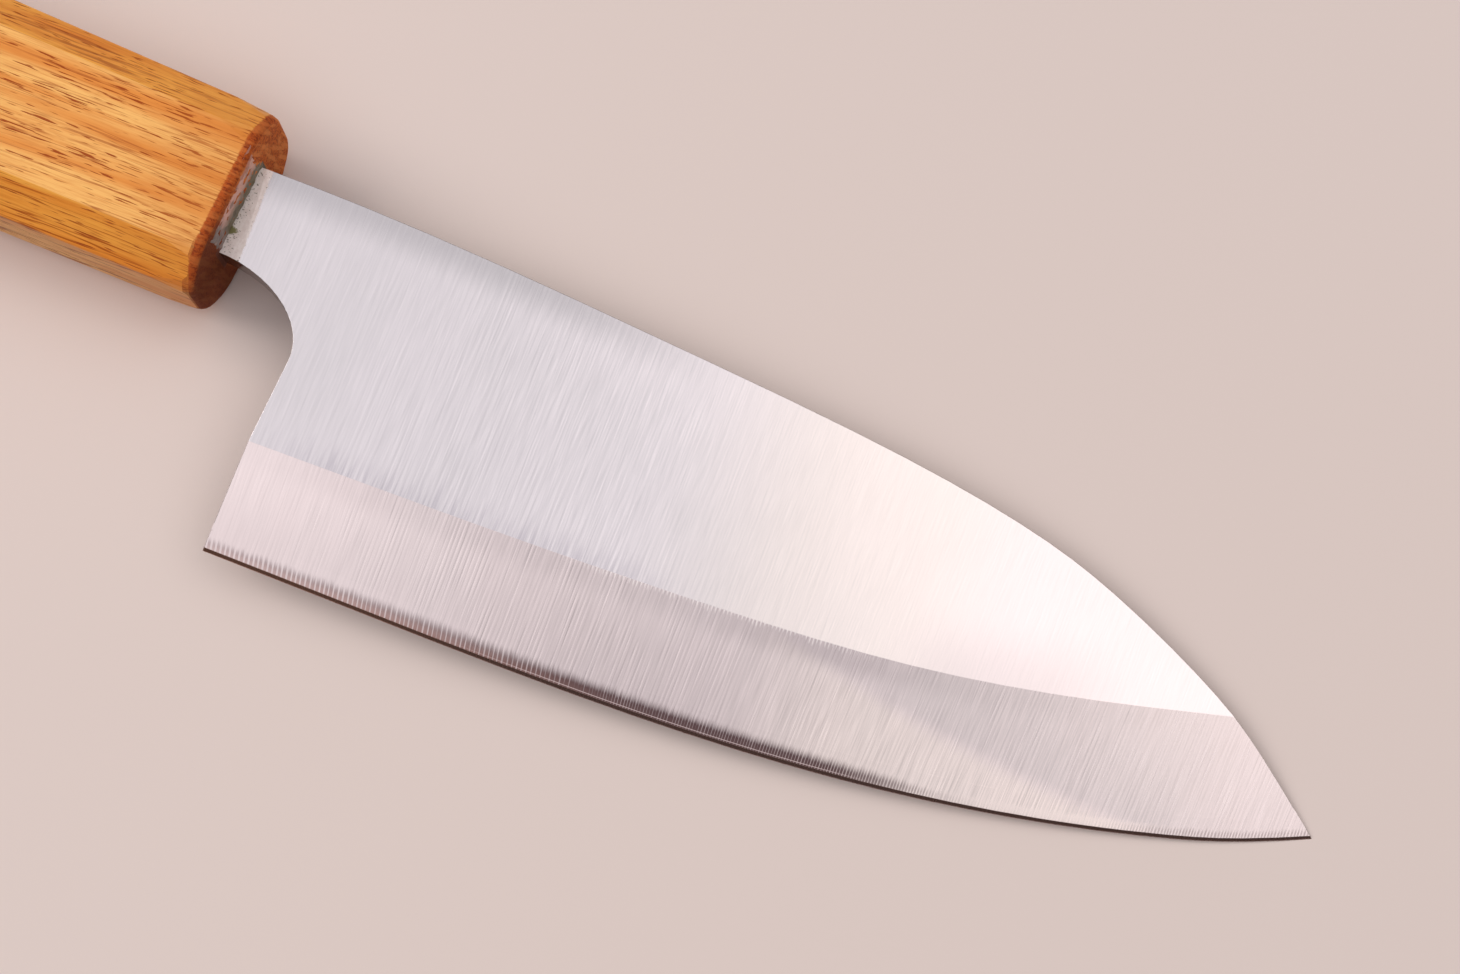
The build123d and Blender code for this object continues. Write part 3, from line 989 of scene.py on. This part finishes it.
def ground_steel(name, roughness, flat, bevel):
    """The blade's steel: its tones on the flat side and on the bevel, which are painted reflections, are
    given.
    """
    blade = Blade(name, roughness)
    on_bevel = blade.step(blade.over_ridge, -0.02, 0.02, 1.0, 0.0)
    marks = grinding(blade, on_bevel)
    on_face = blade.step(blade.math("ABSOLUTE", blade.up), 0.6, 0.7)
    steep = blade.step(blade.up, 0.83, 0.87, 1.0, 0.0)
    on_second = blade.times(blade.step(blade.up, 0.6, 0.7), steep)
    colour = blade.blend(on_bevel, flat_painted_reflections(blade, flat), bevel_haze_and_painted_reflections(blade, bevel))
    cloudy = blade.noise((16, 24, 20), detail=3, seed=61)
    colour = blade.blend(blade.step(cloudy, 0.35, 0.75, 0.0, 0.10), colour, (0.50, 0.50, 0.50))
    tone = blade.line(0.87, (0.26, marks))
    colour = blade.blend(1.0, colour, blade.point(tone, tone, tone), "MULTIPLY")
    colour = blade.blend(blade.times(fringe(blade), 0.42), colour, (0.36, 0.33, 0.38))
    colour = blade.blend(blade.times(ticks(blade), on_bevel, 0.7), colour, (0.92, 0.84, 0.82))
    colour = honed(blade, colour, on_bevel)
    colour, strip = chalked(blade, colour, on_face)
    colour = polished_painted_highlights(blade, colour, on_bevel)
    # Painted reflection: the second bevel is painted dark for the dark it mirrors under the horizon.
    second_bevel_painted_reflection = blade.blend(blade.along(20, 70), (0.42, 0.23, 0.17), (0.30, 0.19, 0.17))
    colour = blade.blend(on_second, colour, second_bevel_painted_reflection)
    # The walls of the outline are a plain dark brown.
    colour = blade.blend(on_face, WALL_BROWN, colour)
    rough = blade.line(roughness - 0.05, (0.10, marks), (0.28, strip))
    blade.set(Base_Color=colour, Metallic=blade.line(1.0, (-0.65, strip)), Roughness=rough)
    blade.bump(marks, MARK_DEPTH, arris_normal(blade))
    blade.set(Anisotropic=0.35, Tangent=blade.point(*(spin @ Vector((1, 0, 0)))))
    return blade.material


# Painted reflections: the flat side's tone is cool, the bevel's warm.
soft_iron = ground_steel("ground_soft_iron", 0.23, (0.70, 0.655, 0.675), (0.70, 0.605, 0.605))
hard_steel = ground_steel("honed_hard_steel", 0.22, (0.69, 0.645, 0.665), (0.69, 0.595, 0.595))
frame["nodes"]["iron_body"].data.materials[0] = soft_iron
frame["nodes"]["steel_layer"].data.materials[0] = hard_steel
print("steel with", len(soft_iron.node_tree.nodes), "nodes")

# %% [markdown]
# Oak shows three things: bands of pale and darker growth that run along the stick, long dark lines where
# one year ends, and open pores, dashes of a few millimetres that lie thickest beside those lines. They
# could be painted on each flat, but then the grain wouldn't turn the corners. So they are worked out in
# the solid block, whose years are stacked across the handle and rise a little along it, and every flat
# just cuts them.

# %% Oak: the grain
GRAIN_RISE = 0.035
YEAR_TILT = 0.22


def grown(oak, block):
    """The long grain's colour, and its fibres, its year lines and its pores."""
    bands = oak.noise((60, 3.0, 9), block, detail=2, seed=5)
    fibres = oak.noise((6, 0.30, 0.6), block, detail=3, roughness=0.65, seed=7)
    colour = oak.blend(oak.step(bands, 0.30, 0.64), (0.82, 0.29, 0.048), (1.0, 0.55, 0.165))
    colour = oak.blend(oak.step(fibres, 0.38, 0.72, 0.0, 0.52), colour, (0.66, 0.21, 0.034))
    line = oak.noise((34, 1.0, 8), block, detail=2, roughness=0.55, seed=11)
    line = oak.math("ABSOLUTE", oak.math("SUBTRACT", line, 0.5))
    broken = oak.step(oak.noise((9, 0.8, 3), block, detail=2, seed=13), 0.34, 0.56)
    line = oak.times(oak.step(line, 0.004, 0.034, 1.0, 0.0), broken)
    bold = oak.step(oak.y, -10.5, -8, 0.88, 0.64)
    colour = oak.blend(oak.times(line, bold), colour, (0.38, 0.072, 0.003))
    pores = oak.noise((3.4, 0.21, 0.34), block, detail=1, seed=17)
    crowd = oak.noise((30, 2.0, 5), block, detail=2, seed=19)
    pores = oak.step(oak.line(0.0, (1.0, pores), (0.38, crowd)), 0.80, 0.88)
    return oak.blend(oak.times(pores, 0.92), colour, (0.34, 0.048, 0.001)), fibres, line, pores


# %% [markdown]
# The sawn end drinks more oil than the flats. It is red-brown and rougher, darker where the wood rolls
# over, and painted almost black low down by the neck, as painted shade. It could get a material of its own,
# but then its border would be a clean line. So the wood asks which way its face leans and how near the end
# it is, and speckles fray the border.

# %% Oak: the ends and the whole
WOOD_RELIEF = 3e-5


def sawn(oak, block, up):
    """Where the sawn ends are, and the colour of their wood, with painted shade low down by the neck."""
    speckle = oak.noise((0.8, 0.35, 0.35), detail=2, roughness=0.7, seed=23)
    ends = oak.step(oak.line(-0.06, (1.0, oak.lean((1, 0, 0))), (0.12, speckle)), 0.12, 0.38)
    from_end = oak.line(MOUTH_REACH - 0.3, (-1.0, oak.x), (SKEW, oak.y), (-RAKE, oak.z), (0.6, speckle))
    from_end = oak.line(0.0, (1.0, from_end), (1.0, oak.step(oak.y, -13, -9, 0.55, 0.0)))
    ends = oak.math("MAXIMUM", ends, oak.step(from_end, 1.05, 1.35, 1.0, 0.0))
    colour = oak.blend(oak.step(speckle, 0.40, 0.68), (0.68, 0.165, 0.030), (0.33, 0.062, 0.014))
    rings = oak.noise((9, 0.9, 5), block, detail=2, seed=29)
    colour = oak.blend(oak.step(rings, 0.46, 0.62, 0.0, 0.65), colour, (0.85, 0.30, 0.080))
    rolled = oak.step(up, 0.12, 0.40)
    colour = oak.blend(rolled, colour, (0.74, 0.60, 0.52), "MULTIPLY")
    # Painted shade: the end is painted almost black low down by the neck, less where it rolls over.
    painted_neck_shade = oak.times(oak.step(oak.y, -8, 3, 0.80, 0.0), oak.line(1.0, (-0.85, rolled)))
    return ends, oak.blend(painted_neck_shade, colour, (0.10, 0.018, 0.007))


def oiled_oak():
    """Oiled oak with the grain along X, darker near the mouth, and with painted shade on all but the top
    flat.
    """
    oak = Bench("oiled_oak", 0.42)
    lazy = oak.noise((60, 12, 12), detail=1, seed=3)
    years = oak.line(0.0, (1.0, oak.y), (-GRAIN_RISE, oak.x), (YEAR_TILT, oak.z), (1.6, lazy))
    block = (oak.x, years, oak.z)
    colour, fibres, line, pores = grown(oak, block)
    up = oak.lean((0, 0, 1))
    # Painted shade: the sloping flats are darker and more saturated.
    slope_painted_shade = oak.times(oak.step(up, 0.25, 0.4), oak.step(up, 0.8, 0.95, 1.0, 0.0))
    colour = oak.blend(slope_painted_shade, colour, (0.94, 0.78, 0.42), "MULTIPLY")
    # Painted shade: the side flats are a little darker.
    side_painted_shade = oak.step(oak.math("ABSOLUTE", up), 0.1, 0.25, 1.0, 0.0)
    colour = oak.blend(side_painted_shade, colour, (0.84, 0.88, 1.0), "MULTIPLY")
    colour = oak.blend(oak.along(-16, -1, 0.0, 0.34), colour, (0.66, 0.215, 0.034))
    ends, end_wood = sawn(oak, block, up)
    rough = oak.line(0.36, (0.14, fibres), (0.25, pores), (0.42, ends))
    oak.set(Base_Color=oak.blend(ends, colour, end_wood), Roughness=rough, Specular_IOR_Level=0.22)
    oak.bump(oak.line(0.0, (0.12, fibres), (-0.8, pores), (-0.25, line)), WOOD_RELIEF)
    return oak.material


oak = oiled_oak()
handle.data.materials.append(oak)
print("oak with", len(oak.node_tree.nodes), "nodes")

# %% [markdown]
# The resin dried to a milky, pinkish skin with dark stains, olive next to the neck, and so thin at its
# outer border that the wood shows through. It could be translucent, but a skin this thin would only look
# like its ground. So each tone is laid on by its distance from the neck, and streaks fray every border.

# %% Resin
RESIN_RELIEF = 8e-5


def wiped_resin():
    """Milky, stained resin, with painted shade below the neck."""
    resin = Bench("wiped_resin", 0.4)
    streaks = resin.noise((1.2, 2.6, 0.9), detail=3, roughness=0.65, seed=5)
    blots = resin.noise((1.5, 1.6, 1.5), detail=3, roughness=0.6, seed=9)
    from_face = resin.step(resin.line(0.0, (1.0, resin.z), (1.6, streaks)), 5.0, 7.6)
    colour = resin.blend(from_face, (0.165, 0.135, 0.075), (0.82, 0.46, 0.37))
    low = resin.step(resin.line(0.0, (1.0, resin.y), (2.0, streaks)), -3.6, -1.6, 1.0, 0.0)
    colour = resin.blend(low, colour, (0.25, 0.19, 0.17))
    colour = resin.blend(resin.step(streaks, 0.52, 0.70, 0.0, 0.5), colour, (0.62, 0.42, 0.34))
    colour = resin.blend(resin.step(blots, 0.54, 0.66, 0.0, 0.6), colour, (0.07, 0.055, 0.035))
    thin = resin.step(resin.line(0.0, (1.0, resin.z), (2.4, streaks)), 9.0, 9.6, 0.0, 0.6)
    colour = resin.blend(thin, colour, (0.42, 0.105, 0.030))
    # Painted shade: below the neck, close to the face, the resin is painted dark red-brown.
    below = resin.step(resin.y, -6.1, -5.6, 1.0, 0.0)
    painted_neck_shade = resin.times(below, resin.step(resin.z, 3.0, 4.2, 1.0, 0.0))
    colour = resin.blend(painted_neck_shade, colour, (0.150, 0.036, 0.014))
    resin.set(Base_Color=colour, Roughness=resin.line(0.30, (0.35, streaks), (0.4, painted_neck_shade)))
    resin.bump(streaks, RESIN_RELIEF)
    return resin.material


resin = wiped_resin()
seal.data.materials.append(resin)
frame["nodes"]["tang_resin"].data.materials[0] = resin
print("resin with", len(resin.node_tree.nodes), "nodes")
